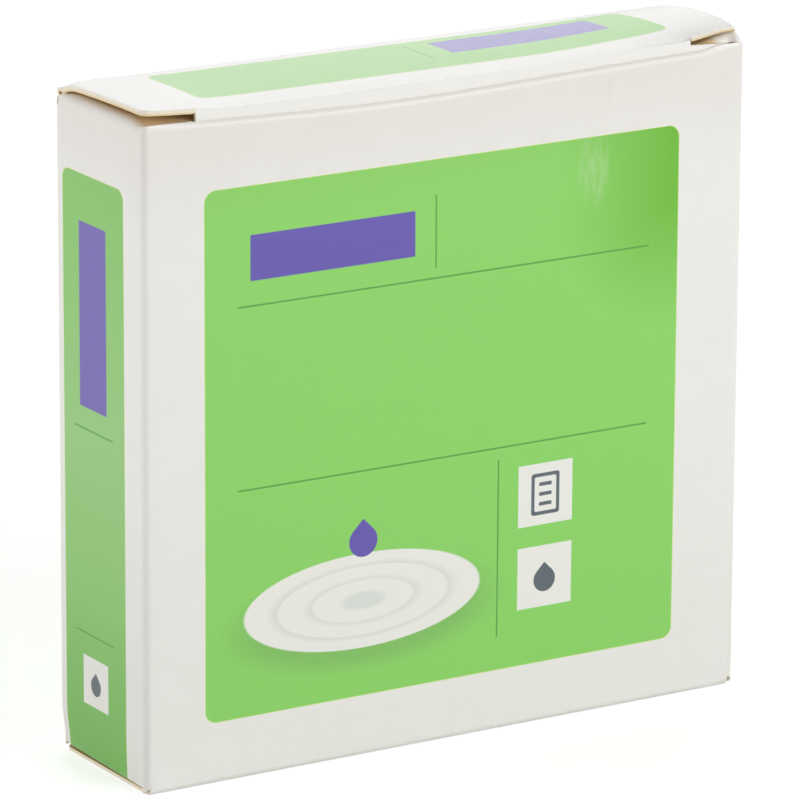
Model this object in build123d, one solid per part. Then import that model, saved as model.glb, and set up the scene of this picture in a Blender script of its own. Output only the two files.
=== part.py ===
from build123d import *
import math
import os

# A small folding carton that stands closed, with a round jar of gel on its edge inside.
# Millimetres. The origin is on the floor under the middle of the carton, +Z is up, the front faces -Y.
# The carton is a reverse tuck: the top closure hinges on the back panel and the bottom one on the front.

# Jar
jar_diameter = 55.0          # widest part of the pot's skirt
skirt_bulge = 1.6            # how far the skirt swells past its foot and shoulder
shoulder_step = 1.4          # from the skirt's edge in to the neck
shoulder_height = 8.8        # from the foot to the ledge that the lid sits on
shoulder_round = 0.8
neck_height = 4.3
cup_wall = 1.5
cup_floor = 1.0
cup_corner = 2.0             # radius where the cup's wall meets its floor
foot_recess = 0.4            # the cup's floor stands this far above the foot
foot_ring = 3.4              # width of the ring that the pot stands on
rim_round = 0.5
gel_slack = 0.03

# Lid
lid_wall = 1.0
lid_top = 1.4                # thickness of the lid's top
lid_rim_gap = 0.35           # between the lid's ceiling and the pot's rim
lid_edge_round = 1.0
lid_flat_ring = 1.4          # flat ring between the rounded edge and the label's recess
lid_seat = 0.05              # the skirt stops this far above the ledge
lid_slack = 0.08             # radial clearance on the neck
plug_wall = 0.8
plug_depth = 1.3             # length of the sealing ring under the lid's top
plug_slack = 0.1
gel_air = 0.5                # between the sealing ring and the gel
label_thickness = 0.12
label_recess = 0.2
label_margin = 0.2           # bare ring of the recess round the label

# Carton board and creases
board = 0.4
fold_radius = 0.8            # outside radius of the upright folds
crease_gap = 0.2             # slack at a crease, so that the flap can swing
glue_film = 0.08
glue_flap_width = 10.0
glue_flap_slope = 2.5        # the glue flap's ends taper by this much
glue_flap_short = 3.0        # the glue flap stops this far from the creases
glue_margin = 1.5            # bare board round the glue

# Room for the jar
side_room = 7.8
front_room = 0.35
back_room = 2.0              # holds the bottom tongue behind the jar
head_room = 14.45            # from the jar to the raw top edge
seat_gap = 0.15              # the jar rests this far above the bottom closure

# Closures
top_gap = 0.8                # the top closure stands off the dust flaps
bottom_gap = 0.2             # the bottom closure lies nearly on its dust flaps
closure_inset = 0.25         # closure's raw edges inside the side panels' faces
hinge_relief = 1.0           # depth of the small notch at each end of the closure's crease
hinge_relief_width = 0.3
slit_length = 5.6            # cut at each end of the tuck fold
slit_corner_inset = 0.2      # slit corners stop short of the panel's face
slit_corner_round = 0.8
tongue_length = 8.0
tongue_inset = 0.2           # fold's clearance behind the panel
tongue_side_room = 1.0
tongue_shoulder = 0.6        # tongue starts this far below the fold beside the slits
tongue_corner = 5.0
tongue_end_gap = 0.15
tongue_jar_gap = 0.25
top_tongue_lean = 18.0       # degrees

# Dust flaps
dust_length = 14.0
dust_front_setback = 2.0     # at the crease, from the face of the panel with the raw edge
dust_front_taper = 1.2
dust_back_setback = 1.1
dust_back_taper = 5.2
dust_corner = 2.0

# Worked out from the sizes above
skirt_r = jar_diameter / 2 - skirt_bulge
neck_r = skirt_r - shoulder_step
cup_r = neck_r - cup_wall
rim_level = shoulder_height + neck_height
lid_ceiling = neck_height - lid_seat + lid_rim_gap
lid_height = lid_ceiling + lid_top
lid_r = neck_r + lid_slack + lid_wall
recess_r = lid_r - lid_edge_round - lid_flat_ring
gel_surface = rim_level - (plug_depth - lid_rim_gap) - gel_air
closed_height = shoulder_height + lid_seat + lid_height
carton_width = jar_diameter + 2 * (side_room + board)
carton_depth = closed_height + front_room + back_room + 2 * board
bottom_level = board + bottom_gap
jar_centre_level = board + seat_gap + jar_diameter / 2
top_level = board + seat_gap + jar_diameter + head_room
jar_back = carton_depth / 2 - board - back_room
half_width = carton_width / 2
half_depth = carton_depth / 2
hinge_y = half_depth - board / 2
hinge_half = half_width - fold_radius - hinge_relief_width
fold_y = -half_depth + board + tongue_inset + board / 2
closure_half = half_width - closure_inset
tongue_fold_half = closure_half - slit_length - tongue_end_gap
bottom_tongue_reach = back_room - tongue_inset - board - tongue_jar_gap
bottom_tongue_lean = math.degrees(math.asin(bottom_tongue_reach / tongue_length))


def sheet(points):
    """A flat sheet of board in the XY plane, half its caliper above and half below."""
    return extrude(make_face(Polyline(*points, close=True)), amount=board / 2, both=True)


def rounded_at(plate, x, y, radius):
    """The plate with its upright corner edges at x and at -x, level with y, rounded."""
    corners = [e for e in plate.edges().filter_by(Axis.Z) if abs(abs(e.center().X) - abs(x)) < radius / 4]
    corners = [e for e in corners if abs(e.center().Y - y) < radius / 4]
    return fillet(corners, radius)


def bead_along_x(half_length):
    """The rounded board at a crease that runs left to right."""
    return Rot(Y=90) * Cylinder(board / 2, 2 * half_length)


def wall(section, bottom, top):
    """An upright panel with the given plan section."""
    return Pos(0, 0, bottom) * extrude(section, amount=top - bottom)


def plan_box(x0, x1, y0, y1):
    """A rectangle of the plan between two corners."""
    return Pos((x0 + x1) / 2, (y0 + y1) / 2) * Rectangle(x1 - x0, y1 - y0)


def sleeve_section():
    """The board of a closed sleeve in plan, with its four rounded folds."""
    inner = RectangleRounded(carton_width - 2 * board, carton_depth - 2 * board, fold_radius - board)
    return RectangleRounded(carton_width, carton_depth, fold_radius) - inner


def quarter_fold(x, y):
    """A quarter turn of board round the point x, y, towards +X and +Y."""
    ring = Circle(fold_radius) - Circle(fold_radius - board)
    return Pos(x, y) * (ring & plan_box(0, fold_radius, 0, fold_radius))


def front_panel():
    """Front panel with both front folds, from the bottom crease to its raw top edge."""
    section = sleeve_section() & plan_box(-half_width, half_width, -half_depth, fold_radius - half_depth)
    return wall(section, board + crease_gap, top_level)


def back_panel():
    """Back panel with the left back fold and the fold into the glue flap."""
    seam_x = half_width - board - glue_film - fold_radius
    section = sleeve_section() & plan_box(-half_width, seam_x, half_depth - fold_radius, half_depth)
    section += quarter_fold(seam_x, half_depth - fold_radius)
    return wall(section, bottom_level, top_level + top_gap - crease_gap)


def left_side_panel():
    """Left side panel between the two left folds."""
    section = plan_box(-half_width, board - half_width, fold_radius - half_depth, half_depth - fold_radius)
    return wall(section, bottom_level + board + crease_gap, top_level - board - crease_gap)


def right_side_panel():
    """Right side panel, whose raw back edge closes the seam."""
    section = plan_box(half_width - board, half_width, fold_radius - half_depth, half_depth)
    return wall(section, bottom_level + board + crease_gap, top_level - board - crease_gap)


def glue_flap():
    """Flap on the back panel, glued inside the right side panel, with tapered ends."""
    low = bottom_level + board + glue_flap_short
    high = top_level - board - glue_flap_short
    root = half_depth - fold_radius
    free = half_depth - glue_flap_width
    outline = [(root, low), (root, high), (free, high - glue_flap_slope), (free, low + glue_flap_slope)]
    face = Plane.YZ * make_face(Polyline(*outline, close=True))
    return Pos(half_width - 2 * board - glue_film) * extrude(face, amount=board)


def seam_glue():
    """Film of glue between the glue flap and the right side panel."""
    low = bottom_level + board + glue_flap_short + glue_flap_slope + glue_margin
    high = top_level - board - glue_flap_short - glue_flap_slope - glue_margin
    near = half_depth - fold_radius - glue_margin
    far = half_depth - glue_flap_width + glue_margin
    section = plan_box(half_width - board - glue_film, half_width - board, far, near)
    return wall(section, low, high)


def closure_panel(gap):
    """Closure of one end, hinged on the +Y side, with a cut corner outside each slit.

    It lies gap above the dust flaps, whose outer faces are at z = 0.
    """
    relief_y = hinge_y - hinge_relief
    slit_y = slit_corner_inset - half_depth
    edge_y = fold_y + board / 2 + crease_gap
    slit_x = closure_half - slit_length
    right = [(hinge_half, hinge_y), (hinge_half, relief_y), (closure_half, relief_y)]
    right += [(closure_half, slit_y), (slit_x, slit_y), (slit_x, edge_y)]
    left = [(-x, y) for x, y in reversed(right)]
    plate = rounded_at(sheet(right + left), closure_half, slit_y, slit_corner_round)
    plate += Pos(0, hinge_y) * bead_along_x(hinge_half)
    return Pos(0, 0, gap + board / 2) * plate


def tuck_tongue(gap, lean):
    """Tongue folded down from the closure's free edge, leaning inwards by lean degrees."""
    tongue_half = half_width - board - tongue_side_room
    right = [(tongue_fold_half, 0), (tongue_fold_half, -tongue_shoulder), (tongue_half, -tongue_shoulder)]
    right += [(tongue_half, -tongue_length)]
    left = [(-x, y) for x, y in reversed(right)]
    plate = rounded_at(sheet(right + left), tongue_half, -tongue_length, tongue_corner)
    plate += bead_along_x(tongue_fold_half)
    return Pos(0, fold_y, gap + board / 2) * Rot(X=90 + lean) * plate


def dust_flap(side):
    """Dust flap on the left (side -1) or right (side 1), narrowing towards its free end."""
    front = dust_front_setback - half_depth
    back = half_depth - dust_back_setback
    front_tip = front + dust_front_taper
    back_tip = back - dust_back_taper
    outline = [(0, front), (-side * dust_length, front_tip), (-side * dust_length, back_tip), (0, back)]
    plate = sheet(outline)
    tips = plate.edges().filter_by(Axis.Z).sort_by(lambda e: abs(e.center().X))[-2:]
    plate = fillet(tips, dust_corner)
    plate += Pos(0, (front + back) / 2) * Rot(X=90) * Cylinder(board / 2, back - front)
    return Pos(side * (half_width - board / 2), 0, -board / 2) * plate


def at_top(piece):
    """A piece of an end, placed on the top of the carton."""
    return Pos(0, 0, top_level) * piece


def at_bottom(piece):
    """A piece of an end, turned over to the bottom, where its hinge side is the front."""
    return Pos(0, 0, bottom_level) * Rot(X=180) * piece


def in_carton(piece):
    """A piece turned about Y, placed as the jar stands: foot to the back, lid to the front."""
    return Pos(0, jar_back, jar_centre_level) * Rot(Z=180) * piece


def jar_pot():
    """Pot: a cup with a straight neck and a thick swelling skirt, on a foot ring."""
    floor_level = foot_recess + cup_floor
    swell_top = shoulder_height - shoulder_round
    ring_r = skirt_r - foot_ring
    swell = ThreePointArc((skirt_r, 0), (jar_diameter / 2, swell_top / 2), (skirt_r, swell_top))
    turn = RadiusArc((skirt_r, swell_top), (skirt_r - shoulder_round, shoulder_height), -shoulder_round)
    upper = Polyline((skirt_r - shoulder_round, shoulder_height), (neck_r, shoulder_height), (neck_r, rim_level),
                     (cup_r, rim_level), (cup_r, floor_level), (0, floor_level), (0, foot_recess),
                     (ring_r, foot_recess), (ring_r, 0), (skirt_r, 0))
    pot = revolve(make_face(swell + turn + upper), Axis.Y)
    rim = [e for e in pot.edges().filter_by(GeomType.CIRCLE) if abs(e.center().Y - rim_level) < rim_round / 4]
    pot = fillet(rim, rim_round)
    inside = [e for e in pot.edges().filter_by(GeomType.CIRCLE) if abs(e.center().Y - floor_level) < cup_floor / 4]
    pot = fillet(inside, cup_corner)
    return in_carton(pot)


def gel_fill():
    """Gel in the pot, up to a little under the rim."""
    gel_r = cup_r - gel_slack
    low = foot_recess + cup_floor + gel_slack
    outline = [(0, low), (gel_r, low), (gel_r, gel_surface), (0, gel_surface)]
    gel = revolve(make_face(Polyline(*outline, close=True)), Axis.Y)
    lower = gel.edges().filter_by(GeomType.CIRCLE).sort_by(Axis.Y)[0]
    return in_carton(fillet(lower, cup_corner))


def jar_lid():
    """Push-on lid with a plain skirt, a recess for its label and a sealing ring inside the neck."""
    bore_r = neck_r + lid_slack
    plug_r = cup_r - plug_slack
    plug_low = lid_ceiling - plug_depth
    outline = [(0, lid_ceiling), (plug_r - plug_wall, lid_ceiling), (plug_r - plug_wall, plug_low),
               (plug_r, plug_low), (plug_r, lid_ceiling), (bore_r, lid_ceiling), (bore_r, 0), (lid_r, 0),
               (lid_r, lid_height), (recess_r, lid_height), (recess_r, lid_height - label_recess),
               (0, lid_height - label_recess)]
    lid = revolve(make_face(Polyline(*outline, close=True)), Axis.Y)
    outer = [e for e in lid.edges().filter_by(GeomType.CIRCLE) if abs(e.radius - lid_r) < lid_slack]
    lid = fillet([e for e in outer if e.center().Y > lid_ceiling], lid_edge_round)
    return in_carton(Pos(0, shoulder_height + lid_seat) * lid)


def lid_label():
    """Round label stuck in the lid's recess."""
    disc = extrude(Plane.XZ * Circle(recess_r - label_margin), amount=-label_thickness)
    return in_carton(Pos(0, shoulder_height + lid_seat + lid_height - label_recess) * disc)


pieces = {
    "front_panel": front_panel(),
    "back_panel": back_panel(),
    "left_side_panel": left_side_panel(),
    "right_side_panel": right_side_panel(),
    "glue_flap": glue_flap(),
    "seam_glue": seam_glue(),
    "top_closure_panel": at_top(closure_panel(top_gap)),
    "top_tuck_tongue": at_top(tuck_tongue(top_gap, top_tongue_lean)),
    "top_left_dust_flap": at_top(dust_flap(-1)),
    "top_right_dust_flap": at_top(dust_flap(1)),
    "bottom_closure_panel": at_bottom(closure_panel(bottom_gap)),
    "bottom_tuck_tongue": at_bottom(tuck_tongue(bottom_gap, bottom_tongue_lean)),
    "bottom_left_dust_flap": at_bottom(dust_flap(-1)),
    "bottom_right_dust_flap": at_bottom(dust_flap(1)),
    "jar_pot": jar_pot(),
    "gel_fill": gel_fill(),
    "jar_lid": jar_lid(),
    "lid_label": lid_label(),
}

os.makedirs("parts", exist_ok=True)
for name, piece in pieces.items():
    export_step(piece, f"parts/{name}.step")
print(f"carton {carton_width:.2f} x {carton_depth:.2f}, walls to {top_level:.2f}, jar {closed_height:.2f} thick")
print(f"bottom tongue leans {bottom_tongue_lean:.2f} degrees")
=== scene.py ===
import math
import bpy
import numpy as np
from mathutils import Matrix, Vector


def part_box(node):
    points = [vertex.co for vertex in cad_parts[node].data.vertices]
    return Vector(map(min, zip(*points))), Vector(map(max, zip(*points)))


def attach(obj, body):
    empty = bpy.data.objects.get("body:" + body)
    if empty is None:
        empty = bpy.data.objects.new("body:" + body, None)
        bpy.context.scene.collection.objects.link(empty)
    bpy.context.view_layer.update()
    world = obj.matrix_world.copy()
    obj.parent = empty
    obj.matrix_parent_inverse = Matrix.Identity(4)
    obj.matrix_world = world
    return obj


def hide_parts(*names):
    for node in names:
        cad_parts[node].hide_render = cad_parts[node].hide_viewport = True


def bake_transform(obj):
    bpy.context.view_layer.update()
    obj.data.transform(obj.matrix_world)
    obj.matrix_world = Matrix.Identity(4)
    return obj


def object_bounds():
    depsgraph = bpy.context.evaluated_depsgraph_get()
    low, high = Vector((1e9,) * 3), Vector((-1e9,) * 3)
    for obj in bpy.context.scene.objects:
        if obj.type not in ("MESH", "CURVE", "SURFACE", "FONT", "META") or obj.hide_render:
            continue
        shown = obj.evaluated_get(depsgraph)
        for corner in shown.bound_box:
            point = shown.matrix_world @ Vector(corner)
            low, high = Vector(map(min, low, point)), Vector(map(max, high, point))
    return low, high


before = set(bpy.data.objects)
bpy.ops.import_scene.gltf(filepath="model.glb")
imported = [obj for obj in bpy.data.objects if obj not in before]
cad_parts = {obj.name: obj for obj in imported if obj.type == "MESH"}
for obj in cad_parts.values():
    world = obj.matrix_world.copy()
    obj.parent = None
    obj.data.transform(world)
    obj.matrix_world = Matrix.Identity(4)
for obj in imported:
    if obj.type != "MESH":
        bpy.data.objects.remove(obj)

cad_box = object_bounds()

# The sleeve: a die-cut strip of folding board, white clay coat outside over a cream core, printed and
# varnished. It is creased at four upright folds, and its narrow last flap is glued inside the right side.
MM = 0.001


def box_mm(node):
    """Lowest and highest corner of a CAD node, in millimetres."""
    return np.array([list(corner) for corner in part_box(node)]) / MM


front_high = box_mm("front_panel")[1]
back_low, back_high = box_mm("back_panel")
side_low, side_high = box_mm("left_side_panel")
glue_low, glue_high = box_mm("glue_flap")
half_width = front_high[0]
half_depth = back_high[1]
board = side_high[0] - side_low[0]
spread = 0.33  # the filled carton stands a little wider than its drawing
right_spread = 0.48  # and more so on the right
middle_x = half_width + spread - board / 2
right_x = half_width + right_spread - board / 2
middle_y = half_depth - board / 2
tight_fold = 0.25  # radius of an upright fold at the middle of the board
soft_fold = 0.5  # the front left one is softer
crease_mid = 0.6  # radius of the flaps' creases
bottom_crease = 0.3  # the bottom dust flaps are folded tighter
hinge_mid = 0.8  # the top closure's hinge is softer
root = 0.15  # straight strip of a flap before its crease
nick = 0.12  # cut beside a dust flap's crease
top_level = box_mm("top_closure_panel")[:, 2].mean()
bottom_level = box_mm("bottom_closure_panel")[:, 2].mean()
dust_top_level = box_mm("top_left_dust_flap")[:, 2].mean()
dust_bottom_level = box_mm("bottom_left_dust_flap")[:, 2].mean()
back_top = top_level - hinge_mid - root
front_bottom = bottom_level + crease_mid + root
side_top = dust_top_level - crease_mid - root
side_bottom = dust_bottom_level + bottom_crease + root
front_top = front_high[2]
front_rim = front_top + 0.3  # the raw front edge stands up a little at its two ends
dip_depth = 0.88  # and is a little hollow between them
dip_place = -5.7
dip_spread = 24.0
corner_top = front_rim - 0.1
corner_bottom = 0.25
back_corner_bottom = 0.62
right_ear = 0.35  # the front's right corner is pushed up by its dust flap
ear_start = 31.0
ear_length = 2.5
glue_taper = 2.5  # the glue flap's ends slope by this much
panel_bow = 0.15  # the wide panels swell a little
edge_roll = 0.15  # the raw front edge leans in, over this height
edge_roll_height = 0.8
edge_crush = 0.75  # and is pressed thin by this share at its rim
edge_crush_height = 0.35
pinch_depth = 0.4  # the side panels draw in at the bottom of the back
pinch_height = 2.2
pinch_reach = 2.5  # and take a strip of the wide panels this wide with them
fine_rows = 0.985  # above this share of the height the rows of points stand closer


def unit(value):
    """A value held between 0 and 1."""
    return np.clip(value, 0, 1)


def bell(away, reach):
    """A bell curve: e to the power of minus the square of the distance away over the reach."""
    return np.exp(-(away / reach) ** 2)


def eased(share):
    """A share that starts and stops gently: three times its square less twice its cube."""
    return share ** 2 * (3 - 2 * share)


def walk(start, heading, moves):
    """A folded strip seen edge on: points along straight runs and round folds, and the flat distance of each.

    A move is (size, turn, steps). With no turn it is a run of that length. Otherwise size is the fold's
    radius, and after a turn of a the point has gone r sin a ahead and r (1 - cos a) to the side it turns to.
    """
    place = np.array(start, float)
    ahead = np.array(heading, float)
    points = [place[None, :]]
    flat = [np.zeros(1)]
    for size, turn, steps in moves:
        share = np.linspace(0, 1, steps + 1)[1:]
        side = np.array([-ahead[1], ahead[0]]) * np.sign(turn)
        angle = abs(turn) * share
        if turn:
            step = size * (np.sin(angle)[:, None] * ahead + (1 - np.cos(angle))[:, None] * side)
            length = size * angle
            ahead = math.cos(turn) * ahead + math.sin(abs(turn)) * side
        else:
            step = (size * share)[:, None] * ahead
            length = size * share
        points.append(place + step)
        flat.append(flat[-1][-1] + length)
        place = points[-1][-1]
    return np.concatenate(points), np.concatenate(flat)


def make_mesh(name, points, faces, smooth_angle=32):
    """A mesh object from points in millimetres, smooth except across edges sharper than the angle."""
    mesh = bpy.data.meshes.new(name)
    mesh.from_pydata((points * MM).tolist(), [], faces)
    mesh.update()
    mesh.shade_smooth()
    mesh.set_sharp_from_angle(angle=math.radians(smooth_angle))
    piece = bpy.data.objects.new(name, mesh)
    bpy.context.scene.collection.objects.link(piece)
    return piece


def board_piece(name, place, blank, crease, keep=None, caliper=board):
    """A sheet of board round a grid of middle points, whose columns run to the right as seen from outside.

    place holds x, y and z of the points and blank their two places on the flat blank; crease is 1 along a
    fold. Each point is moved half the caliper out and in along the normal, the cross product of the grid's
    two directions, and further at a sharp fold, so that the faces beside it stay the caliper apart. Every
    edge of a kept cell that no other kept cell shares gets a wall. The attribute blank also says 1 outside
    and 0 inside.
    """
    *grids, caliper = np.broadcast_arrays(*place, *blank, crease, caliper)
    middle = np.stack(grids[:3], axis=2)
    rows, columns = middle.shape[:2]
    along = np.gradient(middle, axis=1)
    onward = np.diff(middle, axis=0, append=2 * middle[-1:] - middle[-2:-1])
    normal = np.cross(along, np.gradient(middle, axis=0))
    facing = np.cross(along, onward)
    normal /= np.linalg.norm(normal, axis=2, keepdims=True)
    facing /= np.linalg.norm(facing, axis=2, keepdims=True)
    mitre = np.clip((normal * facing).sum(axis=2, keepdims=True), 0.7, 1)
    half = normal * caliper[:, :, None] / (2 * mitre)
    count = rows * columns
    points = np.concatenate([(middle + half).reshape(-1, 3), (middle - half).reshape(-1, 3)])
    index = np.arange(count).reshape(rows, columns)
    keep = np.ones((rows - 1, columns - 1), bool) if keep is None else keep
    a, b, c, d = (part[keep] for part in (index[:-1, :-1], index[:-1, 1:], index[1:, 1:], index[1:, :-1]))
    outside = np.stack([a, b, c, d], axis=1)
    inside = outside[:, ::-1] + count
    edges = np.concatenate([outside[:, [0, 1]], outside[:, [1, 2]], outside[:, [2, 3]], outside[:, [3, 0]]])
    shared = np.isin(edges[:, 0] * count + edges[:, 1], edges[:, 1] * count + edges[:, 0])
    first, second = edges[~shared].T
    walls = np.stack([second, first, first + count, second + count], axis=1)
    faces = np.concatenate([outside, inside, walls])
    used, faces = np.unique(faces, return_inverse=True)
    piece = make_mesh(name, points[used], faces.reshape(-1, 4).tolist())
    side = np.repeat([1.0, 0.0], count)
    around, up, crease = (np.tile(grid.ravel(), 2) for grid in grids[3:])
    flat = np.column_stack([around, up, side])[used]
    layer = piece.data.attributes.new("blank", "FLOAT_VECTOR", "POINT")
    layer.data.foreach_set("vector", flat.astype(np.float32).ravel())
    layer = piece.data.attributes.new("crease", "FLOAT", "POINT")
    layer.data.foreach_set("value", crease[used].astype(np.float32))
    return piece


def edge_dip(x):
    """How far the front's raw top edge dips: a bell left of the middle, faded to nothing at the folds."""
    return dip_depth * bell(x - dip_place, dip_spread) * (1 - unit(np.abs(x) / half_width) ** 8)


def pinch(y):
    """How far a side panel's bottom edge is drawn in: nothing at the front, most at the back."""
    return pinch_depth * (np.clip(y / half_depth, -1, 1) + 1) / 2


glue_x = (glue_low[0] + glue_high[0]) / 2 + right_spread
tight = (tight_fold, math.pi / 2, 6)
moves = [
    (middle_y - tight_fold - glue_low[1], 0, 6),  # glue flap
    tight,
    (glue_x + middle_x - 2 * tight_fold, 0, 48),  # back
    tight,
    (nick, 0, 1),
    (2 * (middle_y - nick) - tight_fold - soft_fold, 0, 18),  # left side
    (nick, 0, 1),
    (soft_fold, math.pi / 2, 8),
    (middle_x + right_x - soft_fold - tight_fold, 0, 72),  # front
    tight,
    (nick, 0, 1),
    (half_depth + middle_y - tight_fold - nick, 0, 18),  # right side
]
plan, flat = walk((glue_x, glue_low[1]), (0, 1), moves)
# the flat distance, the top edge and the bottom edge at the start and after each move
ends = flat[np.cumsum([0] + [steps for size, turn, steps in moves])]
tops = [glue_high[2] - glue_taper, glue_high[2], back_top, back_top, side_top, side_top, side_top, corner_top]
tops += [front_rim, front_rim + right_ear, corner_top + right_ear, side_top, side_top]
bottoms = [glue_low[2] + glue_taper, glue_low[2], back_low[2], back_low[2], back_corner_bottom, side_bottom]
bottoms += [side_bottom, corner_bottom, front_bottom, front_bottom, corner_bottom, side_bottom, side_bottom]
x, y = plan.T
on_back = (flat >= ends[2]) & (flat <= ends[3])
on_left = (flat >= ends[4]) & (flat <= ends[7])
on_front = (flat >= ends[8]) & (flat <= ends[9])
on_right = flat >= ends[10]
on_glue = flat <= ends[1]
straight = on_back | on_left | on_front | on_right | on_glue
width, depth = 2 * half_width, 2 * half_depth
developed = np.select([on_front, on_left, on_back, on_right, on_glue],
                      [x + half_width, -y - half_depth, -depth - x - half_width, width + y + half_depth,
                       -depth - width - half_depth + y])
around = np.interp(flat, flat[straight], developed[straight])
into_ear = unit((x - ear_start) / ear_length)
front_edge = front_rim + right_ear * eased(into_ear) - edge_dip(x)
top_edge = np.where(on_front, front_edge, np.interp(flat, ends, tops))
bottom_edge = np.interp(flat, ends, bottoms)
rise = np.concatenate([np.linspace(0, fine_rows, 52), np.linspace(fine_rows, 1, 9)[1:]])[:, None]
level = bottom_edge + rise * (top_edge - bottom_edge)
swell = panel_bow * (1 - (x / middle_x) ** 2) * np.sin(np.pi * rise)
rolled = edge_roll * unit((level - top_edge) / edge_roll_height + 1) ** 2
off_folds = on_front * (1 - (np.abs(x) / middle_x) ** 12)
thinned = edge_crush * off_folds * unit((level - top_edge) / edge_crush_height + 1)
sleeve_y = y + swell * (on_back * 1.0 - on_front) + rolled * off_folds
near_side = unit((np.abs(x) - middle_x) / pinch_reach + 1)
drawn_in = pinch(y) * near_side * bell(level - side_bottom, pinch_height) * ~on_glue
sleeve_x = x - np.sign(x) * drawn_in
fold_places = np.array([(ends[i] + ends[i + 1]) / 2 for i in (1, 3, 7, 9)])
crease = bell(flat[:, None] - fold_places, crease_mid).max(axis=1)
sleeve = board_piece("carton_sleeve_board", (sleeve_x, sleeve_y, level), (around, level), crease,
                     caliper=board * (1 - thinned))


def colour(code):
    """Linear colour of an sRGB hex code."""
    srgb = np.array([int(code[i:i + 2], 16) for i in (0, 2, 4)]) / 255
    linear = np.where(srgb < 0.04045, srgb / 12.92, ((srgb + 0.055) / 1.055) ** 2.4)
    return (*linear.tolist(), 1.0)


class Signal:
    """The output of a shader node. Arithmetic with it adds Math nodes to its tree."""
    __array_ufunc__ = None  # a numpy number on the left leaves the sum to this class

    def __init__(self, socket):
        self.socket = socket
        self.tree = socket.id_data

    def __add__(self, other):
        return reckon("ADD", self, other)

    def __sub__(self, other):
        return reckon("SUBTRACT", self, other)

    def __rsub__(self, other):
        return reckon("SUBTRACT", other, self)

    def __mul__(self, other):
        return reckon("MULTIPLY", self, other)

    def __truediv__(self, other):
        return reckon("DIVIDE", self, other)

    def __abs__(self):
        return reckon("ABSOLUTE", self)


def feed(target, value):
    """Links an input to a signal, or sets it to a plain value."""
    if isinstance(value, Signal):
        value.tree.links.new(value.socket, target)
    else:
        target.default_value = value


def tree_of(values):
    """The tree of the first signal among some values."""
    return next(value.tree for value in values if isinstance(value, Signal))


def signal(tree, kind, output=0, **values):
    """An output of a new node with the named inputs fed; an underscore in a name stands for a space."""
    made = tree.nodes.new(kind)
    for name, value in values.items():
        feed(made.inputs[name.replace("_", " ")], value)
    return Signal(made.outputs[output])


def reckon(operation, *values):
    """The result of one step of arithmetic."""
    made = tree_of(values).nodes.new("ShaderNodeMath")
    made.operation = operation
    for target, value in zip(made.inputs, values):
        feed(target, value)
    return Signal(made.outputs[0])


def ramp(value, start, stop):
    """0 at one value and 1 at the other, straight between them."""
    return signal(value.tree, "ShaderNodeMapRange", Value=value, From_Min=start, From_Max=stop)


def noise(place, scale, detail):
    """A cloudy noise between 0 and 1."""
    return signal(place.tree, "ShaderNodeTexNoise", "Fac", Vector=place, Scale=scale, Detail=detail)


def mixed(share, first, second, blend="MIX"):
    """Two colours mixed by a share, or the first darkened by the second where the blend is MULTIPLY."""
    made = share.tree.nodes.new("ShaderNodeMix")
    made.data_type = "RGBA"
    made.blend_type = blend
    for place, value in ((0, share), (6, first), (7, second)):
        feed(made.inputs[place], value)
    return Signal(made.outputs[2])


def parts(vector):
    """The three parts of a vector."""
    made = vector.tree.nodes.new("ShaderNodeSeparateXYZ")
    feed(made.inputs[0], vector)
    return [Signal(part) for part in made.outputs]


def attribute(tree, name, output):
    """An attribute of the mesh."""
    made = tree.nodes.new("ShaderNodeAttribute")
    made.attribute_name = name
    return Signal(made.outputs[output])


def object_place(tree):
    """The place on the piece."""
    return signal(tree, "ShaderNodeTexCoord", "Object")


def new_group(name, numbers, vectors=(), outputs=("Mask",)):
    """An empty shader node group with named number and vector inputs and number outputs.

    Returns its tree, its inputs as signals by name, and its output sockets by name.
    """
    tree = bpy.data.node_groups.new(name, "ShaderNodeTree")
    for vector in vectors:
        tree.interface.new_socket(vector, in_out="INPUT", socket_type="NodeSocketVector")
    for number in numbers:
        tree.interface.new_socket(number, in_out="INPUT", socket_type="NodeSocketFloat")
    for output in outputs:
        tree.interface.new_socket(output, in_out="OUTPUT", socket_type="NodeSocketFloat")
    given = {s.name: Signal(s) for s in tree.nodes.new("NodeGroupInput").outputs if s.name}
    return tree, given, tree.nodes.new("NodeGroupOutput").inputs


def use_group(group, **values):
    """The outputs by name of a group with its inputs fed."""
    made = tree_of(values.values()).nodes.new("ShaderNodeGroup")
    made.node_tree = group
    for name, value in values.items():
        feed(made.inputs[name.replace("_", " ")], value)
    return {s.name: Signal(s) for s in made.outputs}


def ink_box_group():
    """Mask of a rounded rectangle, from the signed distance to it.

    With q the distance past the corner centres each way, the distance is the length of q's positive part,
    plus the larger of q where both are negative, less the corner's radius.
    """
    numbers = ["Across", "Down", "Left", "Right", "Top", "Bottom", "Corner", "Soft"]
    tree, given, result = new_group("ink_box", numbers)
    past = []
    for place, low, high in (("Across", "Left", "Right"), ("Down", "Top", "Bottom")):
        centre = (given[low] + given[high]) * 0.5
        reach = (given[high] - given[low]) * 0.5
        past.append(abs(given[place] - centre) - reach + given["Corner"])
    squares = [reckon("POWER", reckon("MAXIMUM", q, 0.0), 2.0) for q in past]
    outer = reckon("SQRT", squares[0] + squares[1])
    inner = reckon("MINIMUM", reckon("MAXIMUM", *past), 0.0)
    distance = outer + inner - given["Corner"]
    feed(result["Mask"], signal(tree, "ShaderNodeClamp", Value=0.5 - distance / given["Soft"]))
    return tree


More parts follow.
